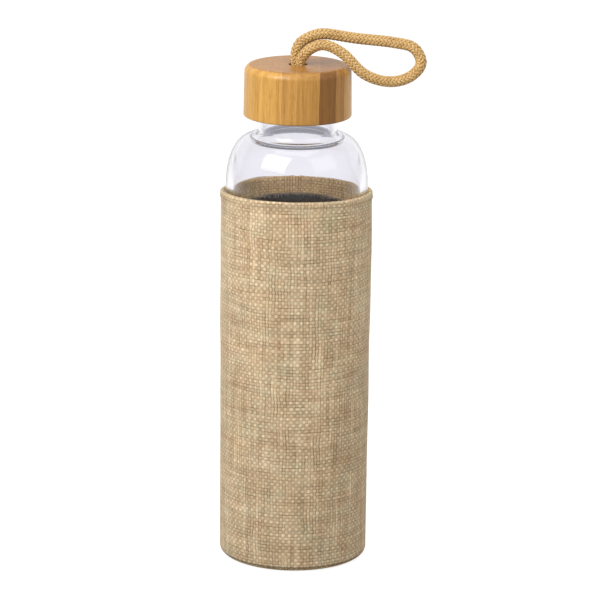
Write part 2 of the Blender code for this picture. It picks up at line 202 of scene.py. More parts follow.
def set_uv(made, values):
    """Gives an object its UV: a pair for each corner of each face, in order."""
    layer = made.data.uv_layers.new(name="UVMap")
    layer.uv.foreach_set("vector", values.astype(np.float32).ravel())


def surface(name, points, uv=None):
    """A grid of quads that closes round its columns and its rows, with its faces pointing out.

    points is (rows, columns, 3). uv is (rows + 1, columns + 1, 2), one more each way for the closing faces.
    """
    rows, columns = points.shape[:2]
    r, c = np.meshgrid(np.arange(rows), np.arange(columns), indexing="ij")
    corners = [(r, c), (r, c + 1), (r + 1, c + 1), (r + 1, c)]
    faces = np.stack([(i % rows) * columns + j % columns for i, j in corners], -1).reshape(-1, 4)
    co = points.reshape(-1, 3)
    triangles = co[faces[:, [0, 1, 2]]], co[faces[:, [0, 2, 3]]]
    volume = sum((np.cross(t[:, 0], t[:, 1]) * t[:, 2]).sum() for t in triangles)
    if volume < 0:
        corners.reverse()
        faces = faces[:, ::-1]
    made = add_mesh(name, co, faces.tolist())
    uv = plain_uv(rows, columns) if uv is None else uv
    set_uv(made, np.stack([uv[i, j] for i, j in corners], 2))
    return made


def tubes(name, grids, uvs=None):
    """Tubes with flat ends, as one piece. Each grid is (stations, sides, 3), its sides counterclockwise as
    seen from its last station. uvs holds a (stations, sides, 2) grid for each tube, if given.
    """
    faces, total = [], 0
    for grid in grids:
        count, sides = grid.shape[:2]
        j, i = np.meshgrid(np.arange(count - 1), np.arange(sides), indexing="ij")
        n = (i + 1) % sides
        ring = np.stack([j * sides + i, j * sides + n, (j + 1) * sides + n, (j + 1) * sides + i], -1)
        faces += (ring.reshape(-1, 4) + total).tolist()
        lid = list(range(total, total + sides))
        faces.append(lid[::-1])
        faces.append([k + (count - 1) * sides for k in lid])
        total += count * sides
    made = add_mesh(name, np.concatenate([grid.reshape(-1, 3) for grid in grids]), faces)
    if uvs:
        corners = np.empty(len(made.data.loops), np.int32)
        made.data.loops.foreach_get("vertex_index", corners)
        set_uv(made, np.concatenate([uv.reshape(-1, 2) for uv in uvs])[corners])
    return made


def sharpen(piece, degrees=40):
    """Keeps the edges steeper than this crisp."""
    piece.data.set_sharp_from_angle(angle=math.radians(degrees))
    return piece


def finish_piece(piece, body, slot, material, *nodes):
    """Puts a piece on its body, in place of the CAD nodes named, with its material."""
    piece.data.materials.append(material)
    if body:
        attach(piece, body)
    if nodes:
        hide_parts(*nodes)
    return piece


def arc(centre_radius, centre_height, radius, start, end, steps):
    """Points of (radius, height) along an arc, angles in degrees from the outward direction."""
    turns = np.radians(np.linspace(start, end, steps + 1))
    return [(centre_radius + radius * math.cos(a), centre_height + radius * math.sin(a)) for a in turns]


def dome(top_radius, top_height, side_radius, side_height, steps):
    """Points of a superellipse shoulder, from its flat top out and down to the upright side."""
    power = 2 / DOME_EXPONENT
    turns = np.linspace(0, math.pi / 2, steps + 1)
    return [
        (
            top_radius + (side_radius - top_radius) * math.sin(a) ** power,
            side_height + (top_height - side_height) * max(math.cos(a), 0.0) ** power,
        )
        for a in turns
    ]


def inset(outline, first, last):
    """The outline moved to its right-hand side by a distance that grows evenly from first to last."""
    line = np.array(outline)
    tangent = unit(np.gradient(line, axis=0))
    depth = np.linspace(first, last, len(line))[:, None]
    return (line + depth * np.stack([tangent[:, 1], -tangent[:, 0]], 1)).tolist()


def resampled(outline, spacing):
    """The outline again, as evenly spaced points about this far apart."""
    line = np.array(outline)
    along = np.concatenate([[0], np.cumsum(np.linalg.norm(np.diff(line, axis=0), axis=1))])
    count = max(2, round(along[-1] / spacing))
    stations = np.linspace(0, along[-1], count + 1)
    return np.stack([np.interp(stations, along, line[:, k]) for k in (0, 1)], 1)


def densified(outline, spacing):
    """The outline's own points, with more between those further apart than spacing."""
    line = np.array(outline)
    kept = [line[:1]]
    for a, b in zip(line[:-1], line[1:]):
        pieces = max(1, math.ceil(np.linalg.norm(b - a) / spacing))
        share = np.arange(1, pieces + 1)[:, None] / pieces
        kept.append(a + (b - a) * share)
    return np.concatenate(kept)


def wrapped(radius, angle, height):
    """The grid of points at these radii, angles and heights."""
    return np.stack(np.broadcast_arrays(radius * np.cos(angle), radius * np.sin(angle), height), -1)


def turned(profile, columns):
    """The grid of points that a (radius, height) profile sweeps about +Z."""
    return wrapped(profile[:, :1], around(columns), profile[:, 1:])


def turned_piece(name, outline, columns, spacing=None):
    """A turned solid. Its outline is closed, or starts and ends within a hair of the axis."""
    profile = densified(outline, spacing) if spacing else np.array(outline)
    return surface(name, turned(profile, columns))


def plain_uv(rows, columns):
    """UV that counts columns and rows as fractions of the whole."""
    v, u = np.meshgrid(np.arange(rows + 1) / rows, np.arange(columns + 1) / columns, indexing="ij")
    return np.stack([u, v], -1)


def waves(angle, height, seed, rounds=3, length=40 * MM):
    """Smooth bumps between about -1 and 1 over a turned surface, the same each run."""
    dice = np.random.default_rng(seed)
    total = 0.0
    for _ in range(6):
        about = dice.integers(1, rounds + 1)
        along = dice.uniform(0.5, 1.6) * 2 * math.pi / length
        total = total + np.sin(about * angle + along * height + dice.uniform(0, 6.28))
    return total / 3.2


def rods(name, starts, ends, radius, sides=6, bulge=0.0):
    """Short blunt threads from starts to ends, as one piece. bulge lifts their middles outwards."""
    reach = np.array([-1.0, -0.9, -0.55, 0.0, 0.55, 0.9, 1.0])[:, None]
    size = np.array([0.15, 0.7, 1.0, 1.0, 1.0, 0.7, 0.15])[:, None, None]
    turns = -around(sides)[:, None]
    grids = []
    for start, end in zip(starts, ends):
        outward = unit(np.array([start[0], start[1], 0.0]))
        side = np.cross(unit(end - start), outward)
        outward = np.cross(side, unit(end - start))
        middle = start + (end - start) * (reach + 1) / 2 + outward * bulge * (1 - reach**2)
        ring = np.cos(turns) * side + np.sin(turns) * outward
        grids.append(middle[:, None] + radius * size * ring)
    return tubes(name, grids)


def ring_place(radius, angle, height):
    """A point at this radius, angle and height."""
    return np.array([radius * math.cos(angle), radius * math.sin(angle), height])


# ---------------------------------------------------------------- materials


class Graph:
    """A procedural material or world. Most calls add nodes and return the socket with their result."""

    def __init__(self, name, world=False):
        self.owner = (bpy.data.worlds if world else bpy.data.materials).new(name)
        self.owner.use_nodes = True
        self.tree = self.owner.node_tree
        self.shader = self.tree.nodes["Background" if world else "Principled BSDF"]

    def feed(self, socket, value):
        if isinstance(value, bpy.types.NodeSocket):
            self.tree.links.new(value, socket)
        elif value is not None:
            socket.default_value = value

    def node(self, kind, inputs=(), output=0, **settings):
        made = self.tree.nodes.new(kind)
        for key, value in settings.items():
            setattr(made, key, value)
        for key, value in dict(inputs).items():
            self.feed(made.inputs[key], value)
        return made.outputs[output]

    def math(self, operation, *values):
        return self.node("ShaderNodeMath", enumerate(values), operation=operation)

    def join(self, x, y, z=0.0):
        return self.node("ShaderNodeCombineXYZ", {0: x, 1: y, 2: z})

    def parts(self, vector):
        made = self.tree.nodes.new("ShaderNodeSeparateXYZ")
        self.feed(made.inputs[0], vector)
        return list(made.outputs)

    def place(self, output="Object"):
        return self.node("ShaderNodeTexCoord", output=output)

    def millimetres(self):
        return self.scaled(self.place(), 1000, 1000, 1000)

    def from_axis(self, x, y):
        """How far a place is from the upright axis."""
        return self.math("SQRT", self.math("MULTIPLY_ADD", x, x, self.math("MULTIPLY", y, y)))

    def uv(self):
        return self.node("ShaderNodeUVMap", uv_map="UVMap")

    def noise(self, vector, scale=1.0, detail=2.0, roughness=0.5):
        inputs = {"Vector": vector, "Scale": scale, "Detail": detail, "Roughness": roughness}
        return self.node("ShaderNodeTexNoise", inputs, output="Fac")

    def streaks(self, first, first_scale, second, second_scale, seed=0.0, detail=2.0, roughness=0.5):
        """Noise over two values with a scale each, so that it can be long one way and short the other."""
        first, second = self.math("MULTIPLY", first, first_scale), self.math("MULTIPLY", second, second_scale)
        return self.noise(self.join(first, second, seed), 1.0, detail, roughness)

    def scaled(self, vector, x, y, z):
        return self.node("ShaderNodeVectorMath", {0: vector, 1: (x, y, z)}, operation="MULTIPLY")

    def mix(self, share, first, second, blend="MIX"):
        made = self.tree.nodes.new("ShaderNodeMix")
        made.data_type = "RGBA"
        made.blend_type = blend
        for index, value in ((0, share), (6, first), (7, second)):
            if isinstance(value, tuple) and len(value) == 3:
                value = (*value, 1.0)
            self.feed(made.inputs[index], value)
        return made.outputs[2]

    def ramp(self, share, *stops):
        made = self.tree.nodes.new("ShaderNodeValToRGB")
        for _ in range(len(stops) - 2):
            made.color_ramp.elements.new(0.5)
        for element, (position, colour) in zip(made.color_ramp.elements, stops):
            element.position = position
            element.color = (*colour, 1.0)
        self.feed(made.inputs[0], share)
        return made.outputs[0]

    def range(self, value, low, high, to_low=0.0, to_high=1.0, kind="LINEAR"):
        inputs = {"Value": value, "From Min": low, "From Max": high, "To Min": to_low, "To Max": to_high}
        return self.node("ShaderNodeMapRange", inputs, interpolation_type=kind)

    def bump(self, height, distance, strength):
        return self.node("ShaderNodeBump", {"Height": height, "Distance": distance, "Strength": strength})

    def set(self, **inputs):
        for key, value in inputs.items():
            self.feed(self.shader.inputs[key.replace("_", " ")], value)
        return self.owner


def grey(value):
    return (value, value, value)


def woven_material():
    """Natural plain weave of melange yarns with slubs: pale plump weft, thinner and darker upright warp, its
    darkness partly its own colour and partly painted shade. Painted shade also darkens the yarns' edges,
    their lower parts and the gaps between them, and painted light brightens the inside of the hem.

    UV counts yarns: u along the weft by warp yarns, v along the warp by weft yarns.
    """
    g = Graph("woven_cloth")
    u, v, _ = g.parts(g.uv())
    warp, weft = g.math("FLOOR", u), g.math("FLOOR", v)
    across_u = g.math("SUBTRACT", g.math("SUBTRACT", u, warp), 0.5)
    across_v = g.math("SUBTRACT", g.math("SUBTRACT", v, weft), 0.5)
    odd = g.math("MODULO", g.math("ADD", g.math("ADD", warp, weft), 1000.0), 2.0)
    over = g.math("MULTIPLY_ADD", odd, -2.0, 1.0)

    def yarn(number, along, across, crossing, sign, size, seed):
        """(height, how far up its round section, colour share, brightness) of one set of yarns."""
        width = g.range(g.streaks(number, 3.17, along, 0.16, seed), 0.3, 0.7, 0.74 * size, 1.26 * size)
        ratio = g.math("DIVIDE", across, width)
        top = g.math("SUBTRACT", 1.0, g.math("MULTIPLY", ratio, ratio))
        top = g.math("SQRT", g.math("MAXIMUM", top, 0.0))
        lift = g.math("COSINE", g.math("MULTIPLY", crossing, math.pi))
        lift = g.math("MULTIPLY", g.math("MULTIPLY", lift, over), sign)
        height = g.math("MULTIPLY_ADD", lift, 0.45, g.math("MULTIPLY", top, 0.55))
        hue = g.streaks(number, 7.31, along, 0.09, seed + 4.0, 3.0, 0.6)
        light = g.streaks(number, 5.77, along, 0.13, seed + 9.0, 3.0, 0.65)
        return height, top, hue, light

    warp_height, warp_top, warp_hue, warp_light = yarn(warp, v, across_u, across_v, 1.0, 0.30, 0.0)
    weft_height, weft_top, weft_hue, weft_light = yarn(weft, u, across_v, across_u, -1.0, 0.54, 31.0)
    balance = g.range(g.streaks(u, 0.17, v, 0.05, 51.0, 3.0, 0.6), 0.32, 0.68, -0.50, 0.22)
    warp_height = g.math("ADD", warp_height, balance)
    on_warp = g.math("GREATER_THAN", warp_height, weft_height)
    height = g.math("MAXIMUM", warp_height, weft_height)

    def either(first, second):
        """The warp's value where it is on top, else the weft's."""
        return g.math("MULTIPLY_ADD", on_warp, g.math("SUBTRACT", first, second), second)

    def painted_gap_shade(across, along, number, scale, seed, start, low, faint, strong):
        """Painted shade in the gaps beside one set of yarns, from faint to strong along each."""
        beside = g.range(g.math("ABSOLUTE", across), start, 0.48)
        depth = g.streaks(g.math("ROUND", number), 5.13, along, scale, seed)
        return g.math("MULTIPLY", beside, g.range(depth, low, 0.66, faint, strong))

    hue = g.math("MULTIPLY_ADD", g.math("SUBTRACT", either(warp_hue, weft_hue), 0.5), 0.65, 0.53)
    blotch = g.noise(g.join(u, v, 3.0), 0.16, 3.0, 0.6)
    hue = g.math("MULTIPLY_ADD", g.math("SUBTRACT", blotch, 0.5), 0.9, hue)
    colour = g.ramp(
        hue,
        (0.32, (0.455, 0.385, 0.252)),
        (0.46, (0.475, 0.375, 0.242)),
        (0.60, (0.470, 0.350, 0.220)),
        (0.78, (0.400, 0.280, 0.165)),
    )
    top = either(g.math("MULTIPLY", warp_top, 0.9), weft_top)
    fibre = either(g.streaks(u, 9.0, v, 1.8), g.streaks(u, 1.8, v, 9.0))
    warp_shade = g.range(balance, -0.50, 0.22, -0.34, -0.04)
    wide = g.noise(g.join(u, v, 8.0), 0.035, 1.0)
    # Painted shade: the yarns darken towards their edges (top), where they lie lower (height) and in the gaps
    # beside them; the warp floats are darker partly by their own colour and partly as painted shade. The
    # other factors are the yarns' own tones.
    tones_and_painted_shades = (
        g.range(either(warp_light, weft_light), 0.26, 0.74, 0.82, 1.18),
        g.range(fibre, 0.25, 0.75, 0.85, 1.15),
        g.range(top, 0.05, 0.75, 0.74, 1.03),
        g.range(height, -0.2, 0.6, 0.86, 1.03),
        g.math("MULTIPLY_ADD", on_warp, warp_shade, 1.0),
        g.range(wide, 0.3, 0.7, 0.94, 1.06),
        g.range(g.streaks(warp, 3.37, v, 0.035, 77.0), 0.3, 0.7, 0.80, 1.10),
        g.range(g.streaks(weft, 3.37, u, 0.05, 88.0), 0.3, 0.7, 0.84, 1.08),
        g.math("ADD", painted_gap_shade(across_u, v, u, 0.11, 99.0, 0.24, 0.34, -0.08, -0.56), 1.10),
        g.math("ADD", painted_gap_shade(across_v, u, v, 0.13, 55.0, 0.28, 0.40, 0.0, -0.46), 1.04),
    )
    brightness = tones_and_painted_shades[0]
    for shade in tones_and_painted_shades[1:]:
        brightness = g.math("MULTIPLY", brightness, shade)
    warmer = g.join(brightness, g.math("POWER", brightness, 1.10), g.math("POWER", brightness, 1.25))
    colour = g.mix(1.0, colour, warmer, "MULTIPLY")
    # Painted light: inside the hem's bore the cloth is painted brighter and warmer.
    x, y, _ = g.parts(g.millimetres())
    inside = g.range(g.from_axis(x, y), HEM_BORE / MM + 0.6, HEM_BORE / MM + 0.2)
    colour = g.mix(1.0, colour, g.mix(inside, grey(0.98), (1.22, 1.08, 0.72)), "MULTIPLY")
    relief = g.math("MULTIPLY_ADD", fibre, 0.14, height)
    return g.set(
        Base_Color=colour,
        Roughness=0.9,
        Specular_IOR_Level=0.18,
        Normal=g.bump(relief, 0.00026, 0.8),
        Sheen_Weight=0.2,
        Sheen_Roughness=0.5,
        Sheen_Tint=(0.9, 0.8, 0.62, 1.0),
    )


def lining_material():
    """Black lining cloth: a fine, slightly shiny weave."""
    g = Graph("lining_cloth")
    place = g.millimetres()
    _, _, z = g.parts(place)
    grain = g.math("MULTIPLY", g.math("SINE", g.math("MULTIPLY", z, 9.0)), g.noise(place, 3.0, 2.0))
    patches = g.noise(place, 0.12, 3.0)
    return g.set(
        Base_Color=g.ramp(patches, (0.3, (0.005, 0.003, 0.001)), (0.7, (0.014, 0.009, 0.004))),
        Roughness=g.range(patches, 0.3, 0.7, 0.62, 0.85),
        Normal=g.bump(grain, 0.00006, 0.3),
        Specular_IOR_Level=0.15,
    )


def thread_material(name, light, dark):
    """Spun sewing thread."""
    g = Graph(name)
    spin = g.noise(g.scaled(g.millimetres(), 3.0, 3.0, 9.0), 1.0, 2.0)
    colour = g.ramp(spin, (0.3, dark), (0.7, light))
    return g.set(Base_Color=colour, Roughness=0.8, Normal=g.bump(spin, 0.00008, 0.6), Specular_IOR_Level=0.2)


def glass_material():
    """Clear blown glass, faintly wavy. Light from lamps passes straight through it to what is inside, and
    rays that stay trapped in its wall end on an even grey painted glow.
    """
    g = Graph("clear_glass")
    wave = g.noise(g.scaled(g.millimetres(), 1.0, 1.0, 0.45), 0.05, 1.0)
    g.set(
        Base_Color=(0.915, 0.910, 0.950, 1.0),
        Roughness=0.0,
        IOR=1.47,
        Transmission_Weight=1.0,
        Normal=g.bump(wave, 0.0004, 0.35),
    )
    path = g.tree.nodes.new("ShaderNodeLightPath")
    lamps = g.math("MAXIMUM", path.outputs["Is Shadow Ray"], path.outputs["Is Diffuse Ray"])
    clear = g.node("ShaderNodeBsdfTransparent", {"Color": (0.97, 0.97, 0.98, 1.0)})
    glass = g.node("ShaderNodeMixShader", {0: lamps, 1: g.shader.outputs[0], 2: clear})
    # Painted glow: a ray still inside the glass after five bounces sees an even grey emission.
    trapped = g.math("GREATER_THAN", path.outputs["Ray Depth"], 5.0)
    glow = g.node("ShaderNodeEmission", {"Color": (0.36, 0.36, 0.385, 1.0)})
    whole = g.node("ShaderNodeMixShader", {0: trapped, 1: glass, 2: glow})
    g.feed(g.tree.nodes["Material Output"].inputs["Surface"], whole)
    return g.owner


def bamboo_material():
    """Laminated bamboo, fibres upright: strips of differing tone (partly their own, partly painted shade and
    rim light), fine pores and turned rings on top.
    """
    g = Graph("bamboo_wood")
    x, y, z = g.parts(g.millimetres())
    bend = g.math("SUBTRACT", g.noise(g.join(0.0, y, z), 0.05, 1.0), 0.5)
    across = g.math("ADD", x, bend)
    tone = strip = glue = 0.0
    start = STRIPS_START
    # The strips' tones carry painted shade and a painted rim light as well as the bamboo's own tone.
    for index, (end, light) in enumerate(STRIPS):
        inside = g.math("MULTIPLY", g.math("GREATER_THAN", across, start), g.math("LESS_THAN", across, end))
        tone = g.math("MULTIPLY_ADD", inside, light, tone)
        strip = g.math("MULTIPLY_ADD", inside, 13.7 * index, strip)
        away = g.math("ABSOLUTE", g.math("SUBTRACT", across, end))
        glue = g.math("MAXIMUM", g.range(away, 0.05, 0.22, 1.0, 0.0), glue)
        start = end
    # On the top face the strips' tones, with their painted shade and rim light, give way to one even tone.
    on_top = g.range(z, CAP_HIGH.z / MM - 0.5, CAP_HIGH.z / MM - 0.1)
    tone = g.math("MULTIPLY_ADD", g.math("MULTIPLY", on_top, 0.8), g.math("SUBTRACT", 0.64, tone), tone)
    fibre_at = g.join(g.math("ADD", x, strip), y, g.math("MULTIPLY", z, 0.035))
    bands = g.noise(fibre_at, 0.42, 3.0, 0.6)
    fibres = g.noise(fibre_at, 1.9, 4.0, 0.7)
    pores = g.noise(g.join(x, y, g.math("MULTIPLY", z, 0.07)), 4.0, 1.0)
    pores = g.range(pores, 0.58, 0.72)
    rings = g.math("MULTIPLY", g.noise(g.join(g.from_axis(x, y), 0.0, 5.0), 1.3, 3.0), on_top)
    share = g.math("ADD", g.math("MULTIPLY", bands, 0.5), g.math("MULTIPLY", fibres, 0.5))
    share = g.math("MULTIPLY_ADD", g.math("SUBTRACT", rings, g.math("MULTIPLY", on_top, 0.5)), 0.35, share)
    colour = g.ramp(
        share,
        (0.28, (0.550, 0.318, 0.078)),
        (0.48, (0.450, 0.238, 0.050)),
        (0.70, (0.280, 0.128, 0.024)),
    )
    redder = g.join(tone, g.math("POWER", tone, 1.25), g.math("POWER", tone, 1.4))
    colour = g.mix(1.0, colour, redder, "MULTIPLY")
    colour = g.mix(on_top, colour, (1.02, 0.94, 0.78), "MULTIPLY")
    colour = g.mix(g.math("MULTIPLY", pores, 0.35), colour, (0.12, 0.05, 0.016))
    colour = g.mix(g.math("MULTIPLY", glue, 0.16), colour, (0.62, 0.40, 0.17))
    relief = g.math("SUBTRACT", g.math("ADD", fibres, rings), g.math("MULTIPLY", pores, 0.5))
    return g.set(
        Base_Color=colour,
        Roughness=g.range(fibres, 0.3, 0.7, 0.32, 0.46),
        Normal=g.bump(relief, 0.00006, 0.5),
        Coat_Weight=0.12,
        Coat_Roughness=0.28,
        Specular_IOR_Level=0.36,
    )


def cord_material():
    """Glossy twisted golden yarns of a braid, painted darker where they dive under and on their undersides,
    as painted shade. UV is (millimetres along, lift).
    """
    g = Graph("braided_cord")
    _, lift, _ = g.parts(g.uv())
    place = g.millimetres()
    fuzz = g.noise(g.scaled(place, 5.0, 5.0, 5.0), 1.0, 3.0)
    patch = g.noise(place, 0.35, 2.0)
    share = g.math("ADD", g.math("MULTIPLY", fuzz, 0.45), g.math("MULTIPLY", patch, 0.55))
    colour = g.ramp(
        share,
        (0.36, (0.485, 0.315, 0.118)),
        (0.52, (0.430, 0.258, 0.085)),
        (0.66, (0.330, 0.180, 0.052)),
    )
    # Painted shade: the less a yarn is lifted and the further round to its underside, the darker it is
    # painted.
    light = g.range(lift, 0.2, 0.9, 0.71, 1.02)
    colour = g.mix(1.0, colour, g.join(light, light, light), "MULTIPLY")
    return g.set(
        Base_Color=colour,
        Roughness=0.5,
        Normal=g.bump(fuzz, 0.00008, 0.6),
        Sheen_Weight=0.1,
        Specular_IOR_Level=0.5,
    )


def soft_material(name, colour, roughness, through=0.0):
    """Moulded plastic or silicone with a faint mould texture, scattering the share through inside."""
    g = Graph(name)
    grain = g.noise(g.millimetres(), 2.5, 3.0)
    return g.set(
        Base_Color=g.ramp(grain, (0.3, tuple(0.94 * c for c in colour)), (0.7, colour)),
        Roughness=g.range(grain, 0.3, 0.7, roughness - 0.06, roughness + 0.06),
        Normal=g.bump(grain, 0.00004, 0.4),
        Subsurface_Weight=through,
    )


def floor_material():
    """A pale matte studio floor, white to the camera. Glass shows it white behind the bottle and dim to the
    sides and in front, like white paper between dark flags. It glows onto matte surfaces as painted bounce
    light, dimmed near the bottle as painted shade.
    """
    g = Graph("studio_floor")
    grain = g.noise(g.place(), 30.0, 2.0)
    x, _, z = g.parts(g.place("Camera"))
    sideways = g.math("ABSOLUTE", g.math("DIVIDE", x, z))
    strip = g.range(sideways, 0.16, 0.55, 1.0, 0.45, "SMOOTHSTEP")
    behind = g.range(z, 1.62, 1.95, 0.22, 1.0, "SMOOTHSTEP")
    path = g.tree.nodes.new("ShaderNodeLightPath")
    shown = g.math("MAXIMUM", g.math("MULTIPLY", strip, behind), path.outputs["Is Camera Ray"])
    x, y, _ = g.parts(g.place())
    # Painted bounce light: the floor's glow onto matte surfaces, dimmed near the bottle as painted shade.
    painted_bounce_glow = g.range(g.from_axis(x, y), 0.05, 0.35, 0.08, 0.6, "SMOOTHSTEP")
    diffuse = path.outputs["Is Diffuse Ray"]
    light = g.math("MULTIPLY_ADD", diffuse, g.math("SUBTRACT", painted_bounce_glow, shown), shown)
    return g.set(
        Base_Color=g.ramp(grain, (0.3, grey(0.21)), (0.7, grey(0.23))),
        Roughness=0.9,
        Specular_IOR_Level=0.0,
        Emission_Color=(1.0, 1.0, 1.0, 1.0),
        Emission_Strength=g.math("MULTIPLY", light, 0.86),
    )


# ---------------------------------------------------------------- sleeve


def back_dip(angle):
    """How far the rim sinks at this angle: not at all at the front, and most at the back."""
    return RIM_DIP * (0.5 + 0.5 * np.sin(angle))


def bump_at(distance, width):
    """A bell-shaped rise of height 1 where the distance is nothing."""
    return np.exp(-((distance / width) ** 2))


def cloth_profile():
    """The cloth's outer face: up the side, over the rim and down the inside of the hem."""
    rim = SLEEVE_HIGH.x - WEAVE_RELIEF
    side_top = rim - 0.3 * MM
    side_foot = side_top - SLEEVE_TAPER
    crest = (rim - HEM_BORE) / 2
    outline = arc(side_foot - BASE_CORNER, BASE_CORNER, BASE_CORNER, -22, 0, 3)
    outline += [(side_top, SLEEVE_HIGH.z - 5 * MM), (rim - 0.05 * MM, SLEEVE_HIGH.z - 2.2 * MM)]
    outline += arc(HEM_BORE + crest, SLEEVE_HIGH.z - crest - WEAVE_RELIEF, crest, 0, 180, 8)
    outline += [(HEM_BORE, HEM_EDGE)]
    return resampled(outline, WEFT / 2)


def weave_relief(rows, columns):
    """How far each point of the cloth stands out, with two rows and two columns of points to a yarn."""
    r, c = np.meshgrid(np.arange(rows), np.arange(columns), indexing="ij")
    dice = np.random.default_rng(11)
    warp_size = dice.uniform(0.55, 1.3, WARP_YARNS)[c // 2]
    weft_size = dice.uniform(0.55, 1.3, rows // 2 + 1)[r // 2]
    weft_over = (r // 2 + c // 2) % 2
    middle = np.where(weft_over == 1, 0.55, 0.10)
    edge = np.where(r % 2 == 1, 0.35, -0.25)
    crossing = np.where((r % 2) * (c % 2) == 1, middle, np.where((r + c) % 2 == 1, edge, -0.35))
    return WEAVE_RELIEF * crossing * (warp_size + weft_size) / 2


def build_cloth(material):
    """The woven tube: relief of the crossing yarns, soft unevenness, a dipping rim and a seam at the back."""
    profile = cloth_profile()
    rows, columns = len(profile), 2 * WARP_YARNS
    tangent = unit(np.gradient(profile, axis=0))
    outward = np.stack([tangent[:, 1], -tangent[:, 0]], 1)
    angle = np.broadcast_to(around(columns), (rows, columns))
    height = np.broadcast_to(profile[:, 1:], (rows, columns))
    outer = profile[:, :1] > HEM_BORE + 1.0 * MM
    on_side = np.clip((height - 6 * MM) / (30 * MM), 0, 1) * (profile[:, :1] > HEM_BORE + 1.2 * MM)
    soft = 0.16 * MM * waves(angle, height, 5, 5, 55 * MM) * on_side
    from_seam = np.abs((angle + math.pi / 2) % (2 * math.pi) - math.pi) * SLEEVE_HIGH.x
    seam = -0.5 * MM * bump_at(from_seam, 0.7 * MM) + 0.22 * MM * bump_at(from_seam - 2.2 * MM, 1.1 * MM)
    stitched = -0.22 * MM * bump_at(height - SLEEVE_HIGH.z + STITCH_DROP, 0.55 * MM)
    out = weave_relief(rows, columns) + soft + outer * (seam + stitched)
    near_rim = eased((height - SLEEVE_HIGH.z + RIM_SOFT) / RIM_SOFT)
    dip = -back_dip(angle) - RIM_SLACK * (1 + waves(angle, 0 * height, 8, 7))
    shift = 0.26 * MM * waves(angle, height, 21, 9, 20 * MM) / SLEEVE_HIGH.x
    rise = 0.22 * MM * waves(angle, height, 33, 12, 30 * MM) * on_side
    z = height + outward[:, 1:] * out + near_rim * dip + rise
    outer_face = wrapped(profile[:, :1] + outward[:, :1] * out, angle + shift, z)
    inner_ends = [(SLEEVE_BORE, LINING_HIGH.z + 0.2 * MM), (SLEEVE_BORE, SEAM_HEIGHT + 0.25 * MM)]
    inner = densified(inner_ends, 60 * MM)
    inner_face = turned(inner, columns)
    inner_face[:, :, 2] += (inner[:, 1:] > 0.1) * near_rim[-1] * dip[-1]
    points = np.concatenate([outer_face, inner_face])
    v, u = np.meshgrid(np.arange(len(points) + 1) / 2, np.arange(columns + 1) / 2, indexing="ij")
    cloth = surface("sleeve_cloth", points, np.stack([u, v], -1))
    return finish_piece(cloth, "sleeve", "woven_fabric", material, "sleeve_fabric")


def build_base(material):
    """The round bottom of the sleeve: flat woven cloth turned up to meet the side just above the corner."""
    foot = SLEEVE_HIGH.x - WEAVE_RELIEF - 0.95 * MM
    corner = foot - BASE_CORNER
    under, floor = 0.02 * MM, 1.0 * MM
    outline = [(HAIR, under)] + [(r, under) for r in np.linspace(2 * MM, corner, 22)]
    outline += arc(corner, BASE_CORNER, BASE_CORNER - 0.06 * MM, -86, -24, 9)
    outline += [(foot - 0.9 * MM, 1.95 * MM), (foot - 1.5 * MM, 1.5 * MM), (corner, floor), (HAIR, floor)]
    profile = np.array(outline)
    columns = 2 * WARP_YARNS
    points = turned(profile, columns)
    angle = around(columns)
    turned_up = np.clip((profile[:, :1] - corner) / (1.5 * MM), 0, 1)
    step = np.arange(len(profile))[:, None] + np.arange(columns)
    relief = 0.5 * WEAVE_RELIEF * np.where(step % 2 == 1, 1, -0.8) * turned_up
    points[:, :, 0] += relief * np.cos(angle)
    points[:, :, 1] += relief * np.sin(angle)
    flat = points[:, :, :2] / WEFT + 60
    side = np.stack(np.broadcast_arrays(np.arange(columns) / 2, profile[:, 1:] / WEFT + 40), -1)
    uv = np.where((turned_up > 0.3)[:, :, None], side, flat)
    uv = np.concatenate([uv, uv[:, :1]], 1)
    uv = np.concatenate([uv, uv[:1]], 0)
    base = surface("sleeve_bottom", points, uv)
    return finish_piece(base, "sleeve", "woven_fabric", material, "sleeve_base")


def ring_of_stitches(name, count, length, radius, level, sink, thickness, bulge):
    """Stitches round the sleeve. length is a stitch's share of its step, sink its share of the rim's dip."""
    step = 2 * math.pi / count

    def place(turn):
        return ring_place(radius, turn, level - sink * (back_dip(turn) + RIM_SLACK))

    starts = [place(k * step) for k in range(count)]
    ends = [place((k + length) * step) for k in range(count)]
    return rods(name, starts, ends, thickness, bulge=bulge)


def build_stitches(thread, dark_thread):
    """Hem stitches below the rim, darker stitches in the base seam, and the side seam's at the back."""
    rim = SLEEVE_HIGH.x - 0.33 * MM
    level = SLEEVE_HIGH.z - STITCH_DROP
    sink = eased(1 - STITCH_DROP / RIM_SOFT)
    hem = ring_of_stitches("hem_stitches", 72, 0.72, rim, level, sink, 0.2 * MM, 0.1 * MM)
    finish_piece(hem, "sleeve", "sewing_thread", thread, "hem_stitching")
    foot = SLEEVE_HIGH.x - WEAVE_RELIEF - 1.42 * MM
    base = ring_of_stitches("base_stitches", 88, 0.62, foot, 1.78 * MM, 0, 0.24 * MM, 0.05 * MM)
    finish_piece(base, "sleeve", "sewing_thread", dark_thread, "base_stitching")

    low, high = SEAM_HEIGHT + 4 * MM, SLEEVE_HIGH.z - 6 * MM
    count = 46
    step = (high - low) / count
    starts, ends = [], []
    for k in range(count):
        z = low + k * step
        radius = SLEEVE_HIGH.x - 1.33 * MM + SLEEVE_TAPER * z / SLEEVE_HIGH.z
        side = 0.28 * MM * (1 if k % 2 else -1)
        starts.append(np.array([side, radius, z]))
        ends.append(np.array([-side, radius, z + 0.55 * step]))
    seam = rods("side_seam_stitches", starts, ends, 0.2 * MM, bulge=0.12 * MM)
    finish_piece(seam, "sleeve", "sewing_thread", thread, "side_seam_stitching")


